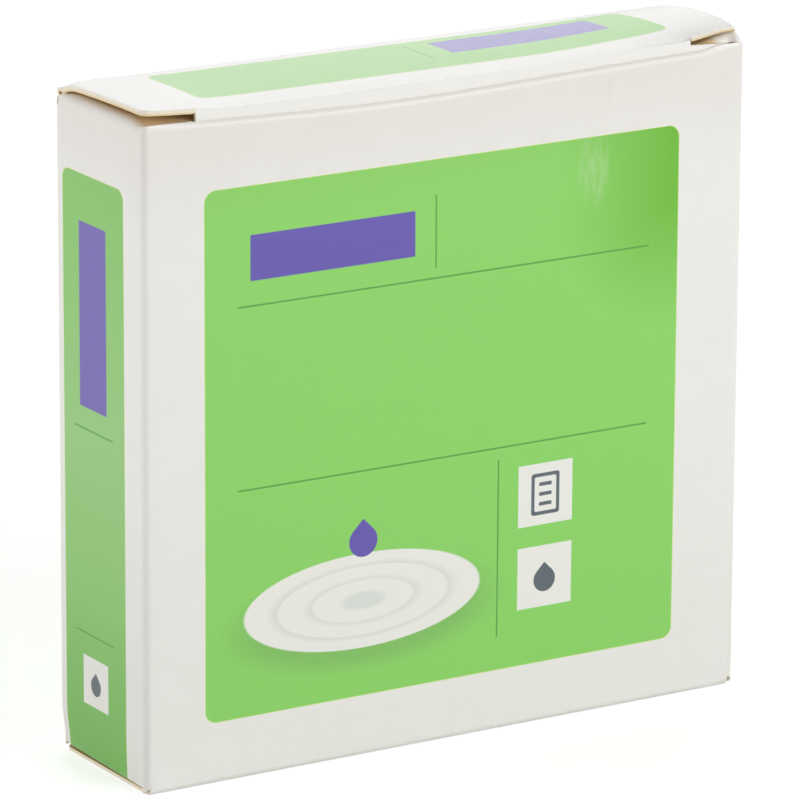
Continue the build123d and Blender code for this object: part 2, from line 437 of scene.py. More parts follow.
def board_grain_group():
    """Fibres and coat of paper board: a soft mottle, fine fibres and a grain height, from three noises."""
    tree, given, result = new_group("board_grain", ["Fibre"], ["Place"], ["Tone", "Height", "Fleck"])
    mottle = noise(given["Place"], 260.0, 3.0)
    fibres = noise(given["Place"], 1900.0, 2.0)
    grains = noise(given["Place"], 5200.0, 1.0)
    feed(result["Tone"], mottle * 0.5 + (fibres - 0.5) * given["Fibre"])
    feed(result["Height"], fibres * 0.6 + grains * 0.4)
    feed(result["Fleck"], ramp(grains, 0.62, 0.75))
    return tree


def rub_group():
    """Mask of a rubbed place: streaky noise let through inside a soft ellipse of the given half sizes."""
    numbers = ["Across", "Down", "Centre Across", "Centre Down", "Half Across", "Half Down", "Bite"]
    tree, given, result = new_group("rub", numbers)
    squares = []
    for name in ("Across", "Down"):
        away = abs((given[name] - given["Centre " + name]) / given["Half " + name])
        squares.append(reckon("POWER", away, 2.0))
    window = ramp(squares[0] + squares[1], 1.0, 0.3)
    place = signal(tree, "ShaderNodeCombineXYZ", X=given["Across"], Y=given["Down"] * 0.25)
    streaks = ramp(noise(place, 1.3, 3.0), given["Bite"], given["Bite"] + 0.3)
    feed(result["Mask"], window * streaks)
    return tree


ink_box = ink_box_group()
board_grain = board_grain_group()
rub = rub_group()
PAPER = "F2F1ED"
PAPER_SHADE = "E9E7E1"
RAW = "F3ECDD"
RAW_SHADE = "E8DDC6"
CORE = "EBD5AC"
INSIDE = "DCC294"
INSIDE_SHADE = "CBAE7E"
FLAP_WARM_SHADE = "F2D9AC"  # painted warm shade under the closure's edges, laid on the top dust flaps as bare board
WORN = "D7E3C4"
SOILED = "CDBB95"
TOP_SHADE_TINT = (0.94, 0.912, 0.9, 1.0)  # these two are painted shade, tints that darken the print near the top and lower down
LOW_SHADE_TINT = (0.87, 0.865, 0.86, 1.0)
TRAP = "DCE9A0"
GREEN = "8BD562"
# painted shade: a deeper green for the front's top right corner
CORNER_SHADE_GREEN = "6ABA28"
SIDE_GREEN = "85C663"
# painted shade: the top's copy of the green, darker than the front's
TOP_SHADE_GREEN = "84C656"
# painted light: a paler green for the middle of the side panels
LIT_MIDDLE_GREEN = "A2CF8C"
# painted shade: a darker green for the foot of the side panels
FOOT_SHADE_GREEN = "5EAF30"
PURPLE = "6151AE"
SIDE_PURPLE = "6C5EB0"
RULE = "4E9E3C"
SQUARE = "F1F0EA"
SKETCH = "57616A"
SHADE = "7DBB5E"
TROUGH = "DCE0DA"
MIDDLE = "DFE3DD"
rule_half = 0.09
trap_hair = 0.07
ink_soft = 0.07
flap_shade_ends = (0.0, -2.4)  # how far down the painted warm shade on the left and the right dust flap comes
worn_place = {"Centre_Across": 53.2, "Centre_Down": 10.6, "Half_Across": 2.2, "Half_Down": 4.6, "Bite": 0.36}
soiled_place = {"Centre_Across": 54.8, "Centre_Down": 4.0, "Half_Across": 1.0, "Half_Down": 3.6, "Bite": 0.52}
top_shade_depth = 12.0  # painted shade: the panels are a little darker and warmer this far down from the top
low_shade_from = 36.0  # and painted shade darkens them lower down, most of all the side panels
low_shade_full = 70.0


def start_material(name):
    """A new material with its tree and its Principled shader."""
    material = bpy.data.materials.new(name)
    material.use_nodes = True
    return material, material.node_tree, material.node_tree.nodes["Principled BSDF"]


def dress(shader, paint, rough, height, strength, distance):
    """Feeds a shader's colour and roughness, and a bump from a height."""
    bump = signal(height.tree, "ShaderNodeBump", Strength=strength, Distance=distance, Height=height)
    for name, value in (("Base Color", paint), ("Roughness", rough), ("Normal", bump)):
        feed(shader.inputs[name], value)


def grown(box, by):
    """A box of left, right, top and bottom, larger by the same amount all round."""
    left, right, top, bottom = box
    return left - by, right + by, top - by, bottom + by


def box_round(centre, radius):
    """The square box round a disc."""
    return grown((centre[0], centre[0], centre[1], centre[1]), radius)


def ink_mask(where, box, corner, soft=ink_soft):
    """Mask of a rounded rectangle. box is left, right, top, bottom in the panel's own millimetres."""
    left, right, top, bottom = box
    return use_group(ink_box, Across=where[0], Down=where[1], Left=left, Right=right, Top=top, Bottom=bottom,
                     Corner=corner, Soft=soft)["Mask"]


def stamp(paper, where, box, ink, corner=0.05, soft=ink_soft, share=1.0):
    """A rounded rectangle of ink on the paper."""
    return mixed(ink_mask(where, box, corner, soft) * share, paper, colour(ink))


def ruled(paper, where, *lines):
    """Thin ruled lines, each from left to right or from top to bottom."""
    for line in lines:
        paper = stamp(paper, where, grown(line, rule_half), RULE)
    return paper


def drop(paper, where, centre, radius, ink):
    """A drop: a disc below, and above it a square of the same width standing on its corner."""
    paper = stamp(paper, where, box_round(centre, radius), ink, corner=radius)
    x, y = where[0] - centre[0], where[1] - centre[1]
    slope = math.sqrt(0.5)
    return stamp(paper, ((x + y) * slope, (y - x) * slope), (-radius, 0.0, -radius, 0.0), ink)


def green_field(paper, where, box, corner, patches=()):
    """A green area with soft patches of other greens, some of them painted shade and painted light, on a
    yellow plate that is a hair larger.
    """
    paper = stamp(paper, where, grown(box, trap_hair), TRAP, corner)
    green = colour(GREEN)
    for patch, ink, soft, share in patches:
        green = stamp(green, where, patch, ink, soft / 2, soft, share)
    return mixed(ink_mask(where, box, corner), paper, green)


def drop_square(paper, where, box):
    """A white square with a drop in it."""
    left, right, top, bottom = box
    paper = stamp(paper, where, box, SQUARE)
    return drop(paper, where, ((left + right) / 2, top * 0.44 + bottom * 0.56), 0.2 * (right - left), SKETCH)


def page_square(paper, where, box):
    """A white square with a ruled page in it."""
    left, right, top, bottom = box
    size = right - left
    line = 0.06 * size
    page = (left + 0.24 * size, right - 0.24 * size, top + 0.16 * size, bottom - 0.16 * size)
    paper = stamp(paper, where, box, SQUARE)
    paper = stamp(paper, where, page, SKETCH, 0.3)
    paper = stamp(paper, where, grown(page, -line), SQUARE, 0.2)
    for share in (0.34, 0.5, 0.66):
        middle = top + share * size
        bar = (page[0] + 2.4 * line, page[1] - 2.4 * line, middle - line / 2, middle + line / 2)
        paper = stamp(paper, where, bar, SKETCH)
    return paper


def ripples(paper, where, centre, flatness):
    """Rings of water seen at a slant: discs of white and grey by turns in a space stretched up and down."""
    axes = (where[0] - centre[0], (where[1] - centre[1]) / flatness)
    shadow = 15.2
    paper = stamp(paper, axes, box_round((0.0, 4.0), shadow), SHADE, shadow, 5.0, 0.8)
    rings = [(14.2, SQUARE, 0.3), (10.9, TROUGH, 1.6), (10.3, SQUARE, 0.3)]
    rings += [(6.6, TROUGH, 1.6), (6.1, SQUARE, 0.3), (2.6, MIDDLE, 1.0)]
    for radius, ink, soft in rings:
        paper = stamp(paper, axes, box_round((0.0, 0.0), radius), ink, radius, soft)
    return drop(paper, where, (centre[0], centre[1] - 6.4), 1.7, PURPLE)


def front_print(paper, where):
    """Green field with painted shade in its top right corner, a bare purple block, thin rules, rings of water
    and two small squares.
    """
    # painted shade, a darker green in the top right corner
    shaded_corner = ((56.0, 76.0, -4.0, 22.0), CORNER_SHADE_GREEN, 14.0, 1.0)
    paper = green_field(paper, where, (6.7, 63.8, 7.25, 63.3), 1.3, [shaded_corner])
    paper = stamp(paper, where, (12.0, 31.5, 12.35, 17.15), PURPLE, 0.15)
    paper = ruled(paper, where, (34.0, 34.0, 11.1, 18.6), (10.6, 60.1, 19.75, 19.75),
                  (10.6, 60.1, 39.05, 39.05), (41.8, 41.8, 40.5, 59.6))
    paper = ripples(paper, where, (25.4, 53.0), 0.36)
    paper = page_square(paper, where, (44.3, 51.0, 41.5, 48.2))
    return drop_square(paper, where, (44.3, 51.0, 50.5, 57.2))


def side_print(paper, where):
    """Green band that runs off the bottom edge, with a bare purple block, two rules and a square; painted
    light makes its middle paler and painted shade its foot darker.
    """
    all_over = ((-8.0, 24.0, -10.0, 90.0), SIDE_GREEN, 1.0, 1.0)
    # painted light, paler in the middle
    lit_middle = ((-8.0, 24.0, 24.0, 44.0), LIT_MIDDLE_GREEN, 24.0, 0.5)
    # painted shade, darker at the foot
    shaded_foot = ((-8.0, 24.0, 64.0, 90.0), FOOT_SHADE_GREEN, 24.0, 1.0)
    paper = green_field(paper, where, (1.4, 13.9, 7.15, 75.0), 1.2, [all_over, lit_middle, shaded_foot])
    paper = stamp(paper, where, (4.7, 10.25, 12.1, 31.55), SIDE_PURPLE, 0.15)
    paper = ruled(paper, where, (3.6, 11.4, 33.85, 33.85), (3.6, 11.4, 55.75, 55.75))
    return drop_square(paper, where, (5.0, 10.2, 58.15, 63.4))


def back_print(paper, where):
    """Green field with two rules and a bare white box."""
    paper = green_field(paper, where, (6.8, 63.7, 7.5, 63.4), 1.3)
    paper = ruled(paper, where, (10.6, 60.0, 20.1, 20.1), (10.6, 60.0, 46.0, 46.0))
    return stamp(paper, where, (36.0, 60.0, 49.0, 60.0), SQUARE, 0.15)


def top_print(paper, where):
    """Green strip, in a darker green that is painted shade on the top, with a bare purple block and a rule.
    """
    # painted shade: the top's green is darker
    all_over = ((-10.0, 90.0, -10.0, 40.0), TOP_SHADE_GREEN, 1.0, 1.0)
    paper = green_field(paper, where, (8.6, 65.3, 2.65, 13.75), 1.2, [all_over])
    paper = stamp(paper, where, (41.4, 60.8, 4.1, 9.2), PURPLE, 0.15)
    return ruled(paper, where, (38.4, 38.4, 4.0, 10.4))


def printed_board():
    """Coated board: print outside, raw fibre inside and on cut edges, cracked at folds, rubbed in places,
    with painted shade.
    """
    material, tree, shader = start_material("printed_board")
    around, up, side = parts(attribute(tree, "blank", "Vector"))
    grain = use_group(board_grain, Place=object_place(tree), Fibre=0.5)
    tone = grain["Tone"]
    down = front_top - up
    left_across = around + depth
    right_across = (width + depth) - around
    behind = -depth - around
    paper = mixed(tone, colour(PAPER), colour(PAPER_SHADE))
    paper = front_print(paper, (around, down))
    paper = side_print(paper, (left_across, down))
    paper = side_print(paper, (right_across, down))
    paper = back_print(paper, (behind, down))
    paper = top_print(paper, (behind, up - top_level))
    # painted warm shade on the top dust flaps, where the closure's edge overhangs them
    for across, flap_shade_end in zip((left_across, right_across), flap_shade_ends):
        paper = stamp(paper, (across, down), (0.6, depth - 0.8, -40.0, flap_shade_end), FLAP_WARM_SHADE, 0.1, 0.6)
    worn = use_group(rub, Across=around, Down=down, **worn_place)["Mask"]
    soiled = use_group(rub, Across=around, Down=down, **soiled_place)["Mask"]
    paper = mixed(worn * 0.26, paper, colour(WORN))
    paper = mixed(soiled * 0.3, paper, colour(SOILED))
    # painted shade: the print darker and warmer near the top of the panels
    top_shade = ramp(down, top_shade_depth, 0.0) * ramp(down, -0.6, -0.2)
    paper = mixed(top_shade, paper, TOP_SHADE_TINT, "MULTIPLY")
    # painted shade: the print darker lower down, most of all on the side panels
    beside = ramp(around, 0.5, -0.5) + ramp(around, width - 0.5, width + 0.5)
    low_shade = ramp(down, low_shade_from, low_shade_full) * (beside * 0.75 + 0.25)
    paper = mixed(low_shade, paper, LOW_SHADE_TINT, "MULTIPLY")
    cracks = attribute(tree, "crease", "Fac") * grain["Fleck"]
    paper = mixed(cracks * 0.5, paper, colour(PAPER))
    raw = mixed(tone, colour(RAW), colour(RAW_SHADE))
    raw = mixed(ramp(side, 0.5, 0.2), raw, colour(CORE))
    lining = mixed(tone, colour(INSIDE), colour(INSIDE_SHADE))
    coated = ramp(side, 0.86, 0.94)
    surface = mixed(coated, mixed(ramp(side, 0.06, 0.02), raw, lining), paper)
    rough = 0.85 - coated * 0.5 + tone * 0.08 + worn * 0.2
    dress(shader, surface, rough, grain["Height"] * (1.0 - coated * 0.75), 0.25, 0.00006)
    return material


board_material = printed_board()


def finish_board(piece, *nodes):
    """Gives a board piece its material and hides the CAD nodes that it stands for."""
    piece.data.materials.append(board_material)
    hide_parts(*nodes)


finish_board(sleeve, "front_panel", "back_panel", "left_side_panel", "right_side_panel", "glue_flap")
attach(sleeve, "carton_sleeve")

# The seam's glue: a thin smear of dried white glue between the glue flap and the right side panel.
# It is rolled on in one stripe, so its edges wander a little.
seam_low, seam_high = box_mm("seam_glue")
smear_up = np.linspace(seam_low[2], seam_high[2], 90)[:, None]
smear_across = np.linspace(0, 1, 9)
smear_inset = 0.35
smear_wander = 0.3
near_wave = smear_wander * np.sin(smear_up * 0.9) * np.sin(smear_up * 0.37 + 1)
far_wave = smear_wander * np.sin(smear_up * 0.7 + 2) * np.sin(smear_up * 0.29)
smear_near = seam_low[1] + smear_inset + near_wave
smear_far = seam_high[1] - smear_inset + far_wave
smear_y = smear_near + (smear_far - smear_near) * smear_across
smear_x = (seam_low[0] + seam_high[0]) / 2 + right_spread
seam_glue = board_piece("seam_glue_film", (smear_x, smear_y, smear_up), (smear_y, smear_up), 0.0,
                        caliper=seam_high[0] - seam_low[0])


def dried_glue():
    """Dried white glue: cream, a little glossy, with soft lumps."""
    material, tree, shader = start_material("dried_glue")
    lumps = noise(object_place(tree), 420.0, 3.0)
    dress(shader, mixed(lumps, colour("EFE6CC"), colour("DCCFA8")), lumps * 0.3 + 0.2, lumps, 0.4, 0.0001)
    return material


seam_glue.data.materials.append(dried_glue())
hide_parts("seam_glue")
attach(seam_glue, "carton_sleeve")

# The four dust flaps: short tapered flaps on the side panels' ends, folded in first under the closures.
# They are the same board, creased to the side panels. The top ones spring up in a round shoulder.
dust_corner = 2.0
dust_notch = 0.5  # length of the step where the flap narrows after its crease
ears = {-1: 0.2, 1: 0.3}  # a top flap's raw edge stands out by this much past its crease, left and right
tongue_room = 6.4  # it keeps its width this far in, as far as the tongue's end
room_step = 0.5
behind_tongue = 8.0  # from there it reaches this far forward behind the tongue
behind_room = 8.0  # until this far in
behind_step = 0.3
raw_step = 0.3  # after that it lies this far in from the drawing
raw_taper = 1.2  # and this far at the tip
far_steps = (1.5, 1.8)  # the other edge lies this far in before and at the tongue's end
far_taper = 5.2  # and this far at the tip
shoulder_mid = 1.05  # radius of a top flap's shoulder
right_spring = 1.5  # the right one stands this much higher towards the front
spring_from = 1.0  # from here at the back
spring_depth = 8.0
right_turn = 0.7  # and it turns in over a shorter way
front_shoulders = {-1: 0.7, 1: 1.45}  # the shoulder's height at a top flap's front edge
front_slopes = {-1: 3.5, 1: 1.0}  # and it rises from there over this depth


def corner_in(to_end, corner):
    """How far an edge turns in at a round corner: a quarter circle over the last of the way to the end."""
    into = np.clip(corner - to_end, 0, corner)
    return corner - np.sqrt(corner ** 2 - into ** 2)


def flap_edges(node_name, side, at_top, crease_end, flat):
    """How far a dust flap reaches from the middle to its raw edge, at the tongue, and to its far edge.

    Both are given for each flat distance from the crease. They step in after the crease, taper to the tip and
    turn round its corners.
    """
    low, high = box_mm(node_name)
    raw_root, far_root = (-low[1], high[1]) if at_top else (high[1], -low[1])
    wide_front = middle_y - (tight_fold if side > 0 else soft_fold) - nick
    wide_back = middle_y - tight_fold - nick
    raw_wide, far_wide = (wide_front, wide_back) if at_top else (wide_back, wide_front)
    stops = [0, crease_end / 2, crease_end, crease_end + dust_notch, tongue_room - room_step, tongue_room]
    stops += [behind_room, behind_room + behind_step, flat[-1]]
    raw_ear = raw_wide + ears[side] if at_top else raw_wide
    raw_behind = behind_tongue if at_top else raw_root - raw_step
    raw_stops = [raw_wide, raw_wide, raw_ear, raw_ear, raw_ear, raw_behind, raw_behind]
    if at_top and side > 0:
        raw_stops = [raw_wide, raw_ear, (raw_ear + raw_behind) / 2] + 4 * [raw_behind]
    raw_stops += [raw_root - raw_step, raw_root - raw_taper]
    far_stops = [far_wide, far_wide, far_wide, far_root, far_root - far_steps[0], far_root - far_steps[1]]
    far_ends = [far_root - far_steps[1], far_root - far_taper]
    far_stops += list(np.interp(stops[6:], [tongue_room, flat[-1]], far_ends))
    turn_in = corner_in(flat[-1] - flat, dust_corner)
    return [(np.interp(flat, stops, places) - turn_in)[:, None] for places in (raw_stops, far_stops)]


def dust_flap(name, node_name, side, end):
    """One dust flap. side is -1 left or 1 right, end is 1 top or -1 bottom.

    Rows go up the panel, over a quarter ellipse of the column's own height and in along the flap, where the
    level falls in a cube to that of the tip. Columns go across between the two edges.
    """
    low, high = box_mm(node_name)
    at_top = end > 0
    sprung = at_top and side > 0
    length = high[0] - low[0] - board / 2
    bend = crease_mid if at_top else bottom_crease
    shoulder = shoulder_mid if at_top else bend
    fold_x = right_x if side > 0 else middle_x
    arc = np.radians(np.linspace(0, 90, 11))[:, None]
    inward = np.linspace(0, 1, 31)[1:, None]
    crease_end = bend * np.pi / 2
    flat = np.concatenate([[-root], bend * arc[:, 0], crease_end + inward[:, 0] * length])
    raw_edge, far_edge = flap_edges(node_name, side, at_top, crease_end, flat)
    share = np.linspace(0, 1, 25) ** 2
    share = share if side > 0 else share[::-1]
    y = end * (share * (far_edge + raw_edge) - raw_edge)
    height = np.full(share.shape, shoulder)
    if at_top:
        forward = unit((half_depth - spring_from - y[0]) / spring_depth)
        full_height = shoulder + sprung * right_spring * forward
        back = unit((y[0] - y[0].min()) / front_slopes[side])
        dome = np.sqrt(1 - (1 - back) ** 2) if sprung else eased(back)
        height = front_shoulders[side] + (full_height - front_shoulders[side]) * dome
    turn = np.minimum(height, right_turn if sprung else shoulder)
    inset = np.concatenate([0 * turn[None], turn * (1 - np.cos(arc)), turn + inward * (length - turn)])
    fall = bend + (height - bend) * (1 - inward) ** 3
    lift = np.concatenate([0 * height[None] - root, height * np.sin(arc), fall])
    start = side_top + root if at_top else side_bottom - root
    drawn_in = 0 * y if at_top else pinch(y)
    x = side * (fold_x - inset - drawn_in)
    z = start + end * lift
    around = -y - half_depth if side < 0 else width + y + half_depth
    up = (start + end * flat)[:, None]
    crease = bell(flat - crease_end / 2, crease_mid)[:, None]
    piece = board_piece(name, (x, y, z), (around, up), crease)
    finish_board(piece, node_name)
    start_point = (side * fold_x * MM, 0, start * MM)
    end_point = (side * (fold_x - shoulder) * MM, 0, (start + end * shoulder) * MM)
    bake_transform(piece)


for end_name, end in (("top", 1), ("bottom", -1)):
    for side_name, side in (("left", -1), ("right", 1)):
        place_name = f"{end_name}_{side_name}_dust"
        dust_flap(f"{place_name}_flap_board", f"{place_name}_flap", side, end)

# The two closures: the top one hinges on the back panel and the bottom one on the front, of the same board.
# A slit at each end of the tuck fold leaves a tab, which lies on the dust flap and locks the tongue.
closure_low, closure_high = box_mm("top_closure_panel")
closure_half = closure_high[0]
slit = 5.6  # length of the slit at each end of the tuck fold
slit_x = closure_half - slit
top_hinge_half = half_width - 0.3
bottom_hinge_half = half_width - 0.2
top_left_shift = -0.4  # the top closure's left end reaches further
bottom_half = half_width - 0.2  # the bottom closure lies under the side panels
relief = 0.8  # depth of the nick at each end of the hinge crease
relief_step = 0.25
tab_corner = 0.8
tab_reach = middle_y - closure_low[1]
tab_depth = 0.67  # the tabs go this far past the tuck fold
tuck_reach = tab_reach - tab_depth
crown = 0.12  # the top closure swells a little between hinge and tuck
left_lift = 0.17  # its left end lies this much higher
left_rise = 0.4  # and rises by this much to the tuck
left_rise_start = -22.0
right_rise = 1.5  # its right end springs up more
right_rise_start = 13.0
tuck_hold = 0.65  # the tongue holds it down by this share at the tuck
tab_spring = 0.44  # but its tab springs up, from just before the slit on
spring_lead = 0.6
spring_run = 4.0
tab_tilt = 0.45  # and slopes up past the tuck fold
tuck_sag = 0.28  # the tuck fold sags between the slits
sag_place = -5.0
sag_half = 26.0
corner_press = 0.75  # its back left corner is pressed round
corner_reach = 1.0
top_fray = 0.5  # its left end's cut edge is swollen by this share
fray_reach = 0.4


def top_bow(x, ahead):
    """Height of the top closure against its level.

    With the share of the way from hinge to tuck, the left end rises straight and the right end in a cube that
    falls back near the tuck; both fade with the square of the way in from the end. The right tab springs up
    past its slit, the tuck sags between the slits, and the back left corner is pressed down in a bell.
    """
    share = unit((ahead - hinge_mid) / (tuck_reach - hinge_mid))
    off_hinge = unit(ahead / hinge_mid)
    to_left = unit((x - left_rise_start) / (-closure_half - left_rise_start)) ** 2
    to_right = unit((x - right_rise_start) / (closure_half - right_rise_start)) ** 2
    right = right_rise * (1 - (1 - share) ** 3) * (1 - tuck_hold * share ** 8)
    from_end = np.clip(x + closure_half, 0, None)
    pressed = corner_press * bell(from_end, corner_reach) * bell(ahead, 2 * corner_reach) * off_hinge
    left = left_lift * off_hinge + left_rise * share
    tab = tab_spring * share ** 8 * unit((x - slit_x + spring_lead) / spring_run)
    tab = tab + tab_tilt * np.clip(ahead - tuck_reach, 0, None) * (x > 0)
    sag = tuck_sag * share ** 3 * unit(1 - ((x - sag_place) / sag_half) ** 4)
    return crown * 4 * share * (1 - share) + left * to_left + right * to_right + tab - sag - pressed


def flat_bow(x, ahead):
    """The bottom closure stands flat."""
    return 0 * x * ahead


def spread_columns(half, inner, steps, middle_steps):
    """Places across a closure from right to left, with one exactly at each slit."""
    right = np.linspace(half, inner, steps + 1)
    middle = np.linspace(inner, -inner, middle_steps + 1)[1:-1]
    return np.concatenate([right, middle, -right[::-1]])


def between(values):
    """The middles between neighbouring values."""
    return (values[1:] + values[:-1]) / 2


def closure_blank(x, end):
    """Place round the blank: the top closure follows the back panel, the bottom one the front."""
    return -depth - x - half_width if end > 0 else x + half_width


def closure(name, node_name, end, bow, bend, hinge_half, half, left_shift=0.0, fray=0.0):
    """One closure. Rows go up over the hinge fold and on to the tabs; the middle stops at the tuck fold."""
    tab_rows = 7
    moves = [(root, 0, 1), (bend, -math.pi / 2, 10), (tuck_reach - bend, 0, 34), (tab_depth, 0, tab_rows)]
    section, flat = walk((0, -root), (0, 1), moves)
    tuck_flat = flat[-1 - tab_rows]
    ahead = section[:, :1]
    reach = half - corner_in(tab_reach - ahead, tab_corner)
    reach = np.minimum(reach, np.interp(ahead, [relief, relief + relief_step], [hinge_half, half]))
    column = spread_columns(half, slit_x, 10, 80)
    past_slit = np.clip(np.abs(column) - slit_x, 0, None) / (half - slit_x)
    x = np.sign(column) * (np.minimum(np.abs(column), slit_x) + past_slit * (reach - slit_x))
    x = x + past_slit * left_shift * (column < 0)
    y = end * (middle_y - ahead)
    start = back_top + root if end > 0 else front_bottom - root
    z = start + end * section[:, 1:] + bow(x, ahead)
    face = top_level if end > 0 else bottom_level
    up = np.where(ahead > bend, face + end * (ahead + board / 2), start + end * section[:, 1:])
    fold_middle = root + bend * math.pi / 4
    crease = bell(flat - fold_middle, bend) + bell(flat - tuck_flat, crease_mid)
    cell_row = between(flat)[:, None]
    cell_column = np.abs(between(column))
    keep = (cell_row < tuck_flat) | (cell_column > slit_x)
    to_end = np.minimum(half - np.abs(column), np.where(past_slit > 0, tab_reach - ahead, half))
    swollen = fray * unit(1 - to_end / fray_reach) * (ahead > relief) * (column < 0)
    piece = board_piece(name, (x, y, z), (closure_blank(x, end), up), crease[:, None], keep,
                        board * (1 + swollen))
    finish_board(piece, node_name)
    start_point = (0, end * middle_y * MM, start * MM)
    end_point = (0, end * (middle_y - bend) * MM, (start + end * bend) * MM)
    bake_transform(piece)


closure("top_closure_board", "top_closure_panel", 1, top_bow, hinge_mid, top_hinge_half,
        closure_half, top_left_shift, top_fray)
closure("bottom_closure_board", "bottom_closure_panel", -1, flat_bow, crease_mid,
        bottom_hinge_half, bottom_half)

# The two tuck tongues: each is the closure's own board, folded down at the tuck fold and pushed inside the
# carton. It springs forward against the panel, and its lower corners are cut round so that it slides in.
tongue_half = box_mm("top_tuck_tongue")[1][0]
tongue_fold_half = slit_x - 0.15
tongue_shoulder = 1.8  # the tongue's wings start this far below the fold
raised_shoulder = 0.35  # but the top one's right wing shows over the front panel's rim
raised_drop = 0.25  # and slopes down to its end
tongue_corner = 5.0
fold_lead = 0.2  # strip of the closure's plane before the sharp tuck fold
face_angle = math.radians(88)  # the tongue goes straight down, then back
face_run = 1.4
spring_radius = 3.0
tail_angle = math.radians(100)
tail_run = 4.6
blend_ahead = 0.3  # way ahead and down from the tuck fold to an end point that nothing uses
blend_down = 0.9


def tongue(name, node_name, end, bow, right_shoulder=tongue_shoulder, wing_drop=0.0):
    """One tongue. Rows go round the tuck fold and down the tongue, columns from right to left.

    It starts at the slope that the closure ends with and turns at once to the face. A run goes by its angle's
    cosine and sine; from angle a to b on a radius r, a bend goes r (sin b - sin a) ahead and
    r (cos a - cos b) down.
    """
    column = spread_columns(tongue_half, tongue_fold_half, 8, 80)
    step = 0.05
    held = np.clip(column, -tongue_fold_half, tongue_fold_half)
    edge = bow(held, tuck_reach)
    slope = np.arctan((bow(held, tuck_reach - step) - edge) / step)
    lead = np.linspace(0, fold_lead, 3)[:, None]
    face = np.append(fold_lead / 2, np.linspace(fold_lead, face_run, 8))[:, None]
    later = np.linspace(0, 1, 9)[1:, None]
    spring = face_angle + (tail_angle - face_angle) * later
    even = np.ones(column.shape)
    ahead = [lead * np.cos(slope)]
    below = [lead * np.sin(slope)]
    ahead.append(ahead[-1][-1] + face * math.cos(face_angle))
    below.append(below[-1][-1] + face * math.sin(face_angle))
    ahead.append(ahead[-1][-1] + spring_radius * (np.sin(spring) - math.sin(face_angle)) * even)
    below.append(below[-1][-1] + spring_radius * (math.cos(face_angle) - np.cos(spring)) * even)
    tail = np.linspace(0, 1, 21)[1:, None]
    ahead.append(ahead[-1][-1] + tail * tail_run * math.cos(tail_angle))
    below.append(below[-1][-1] + tail * tail_run * math.sin(tail_angle))
    ahead = tuck_reach + np.concatenate(ahead)
    below = np.concatenate(below)
    spring_flat = spring_radius * (tail_angle - face_angle)
    spring_start = fold_lead + face_run
    flat = np.concatenate([lead, fold_lead + face, spring_start + later * spring_flat,
                           spring_start + spring_flat + tail * tail_run])[:, 0]
    reach = tongue_half - corner_in(flat[-1] - flat, tongue_corner)
    x = column * reach[:, None] / tongue_half
    y = end * (middle_y - ahead)
    level = top_level if end > 0 else bottom_level
    wing = unit((column - tongue_fold_half) / (tongue_half - tongue_fold_half))
    z = level + edge - end * (below + wing_drop * wing)
    up = (level + end * (tuck_reach + board / 2 + flat))[:, None]
    crease = bell(flat - fold_lead, crease_mid)[:, None]
    cell_row = between(flat)[:, None]
    cell_column = between(column)
    cut = fold_lead + np.where(cell_column > 0, right_shoulder, tongue_shoulder)
    keep = (cell_row > cut) | (np.abs(cell_column) < tongue_fold_half)
    piece = board_piece(name, (x, y, z), (closure_blank(x, end), up), crease, keep)
    finish_board(piece, node_name)
    tuck_y = end * (middle_y - tuck_reach)
    start_point = (0, tuck_y * MM, level * MM)
    end_point = (0, (tuck_y - end * blend_ahead) * MM, (level - end * blend_down) * MM)
    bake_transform(piece)


tongue("top_tongue_board", "top_tuck_tongue", 1, top_bow, raised_shoulder,
       raised_drop)
tongue("bottom_tongue_board", "bottom_tuck_tongue", -1, flat_bow)

# The pot: an injection-moulded white polypropylene cup with a straight neck, and a thick skirt that swells
# round it. It has a foot ring, and it stands on its edge in the carton, foot to the back.
pot_low, pot_high = box_mm("jar_pot")
pot_r = (pot_high[0] - pot_low[0]) / 2
axis_z = (pot_high[2] + pot_low[2]) / 2
foot_y = pot_high[1]
rim_level = foot_y - pot_low[1]
skirt_r = pot_r - 1.6
shoulder_level = 8.8
shoulder_round = 0.8
neck_r = skirt_r - 1.4
cup_r = neck_r - 1.5
cup_floor = 1.4
cup_corner = 2.0
rim_round = 0.5
foot_ring = 3.4
foot_recess = 0.4
foot_round = 0.35


def bend_points(centre, radius, start, stop, steps=8):
    """Points of a round corner of a profile, between two angles in degrees."""
    angle = np.radians(np.linspace(start, stop, steps + 1))
    return np.column_stack([centre[0] + radius * np.cos(angle), centre[1] + radius * np.sin(angle)])


def turned(name, profile, ripple=None, segments=160):
    """A profile carried round the jar's axis, from the axis at its first point back to the axis at its last.

    A profile point is a radius and a height above the foot; the height runs forward, to -Y. A ripple adds to
    the height as a function of radius, angle and height.
    """
    radius, height = np.concatenate(profile).T
    angle = np.linspace(0, 2 * np.pi, segments, endpoint=False)
    ring_r = np.broadcast_to(radius[1:-1, None], (len(radius) - 2, segments))
    ring_h = np.broadcast_to(height[1:-1, None], ring_r.shape)
    if ripple is not None:
        ring_h = ring_h + ripple(ring_r, angle, ring_h)
    rings = np.stack([ring_r * np.cos(angle), foot_y - ring_h, axis_z + ring_r * np.sin(angle)], axis=2)
    poles = [[0, foot_y - height[0], axis_z], [0, foot_y - height[-1], axis_z]]
    points = np.concatenate([rings.reshape(-1, 3), poles])
    index = np.arange(rings.shape[0] * segments).reshape(-1, segments)
    following = np.roll(index, -1, axis=1)
    quads = np.stack([index[:-1], following[:-1], following[1:], index[1:]], axis=2).reshape(-1, 4)
    first, last = index.size, index.size + 1
    under = np.column_stack([np.full(segments, first), following[0], index[0]])
    over = np.column_stack([np.full(segments, last), index[-1], following[-1]])
    return make_mesh(name, points, quads.tolist() + under.tolist() + over.tolist())


def line_points(*points):
    """Corner points of a profile."""
    return np.array(points, float)


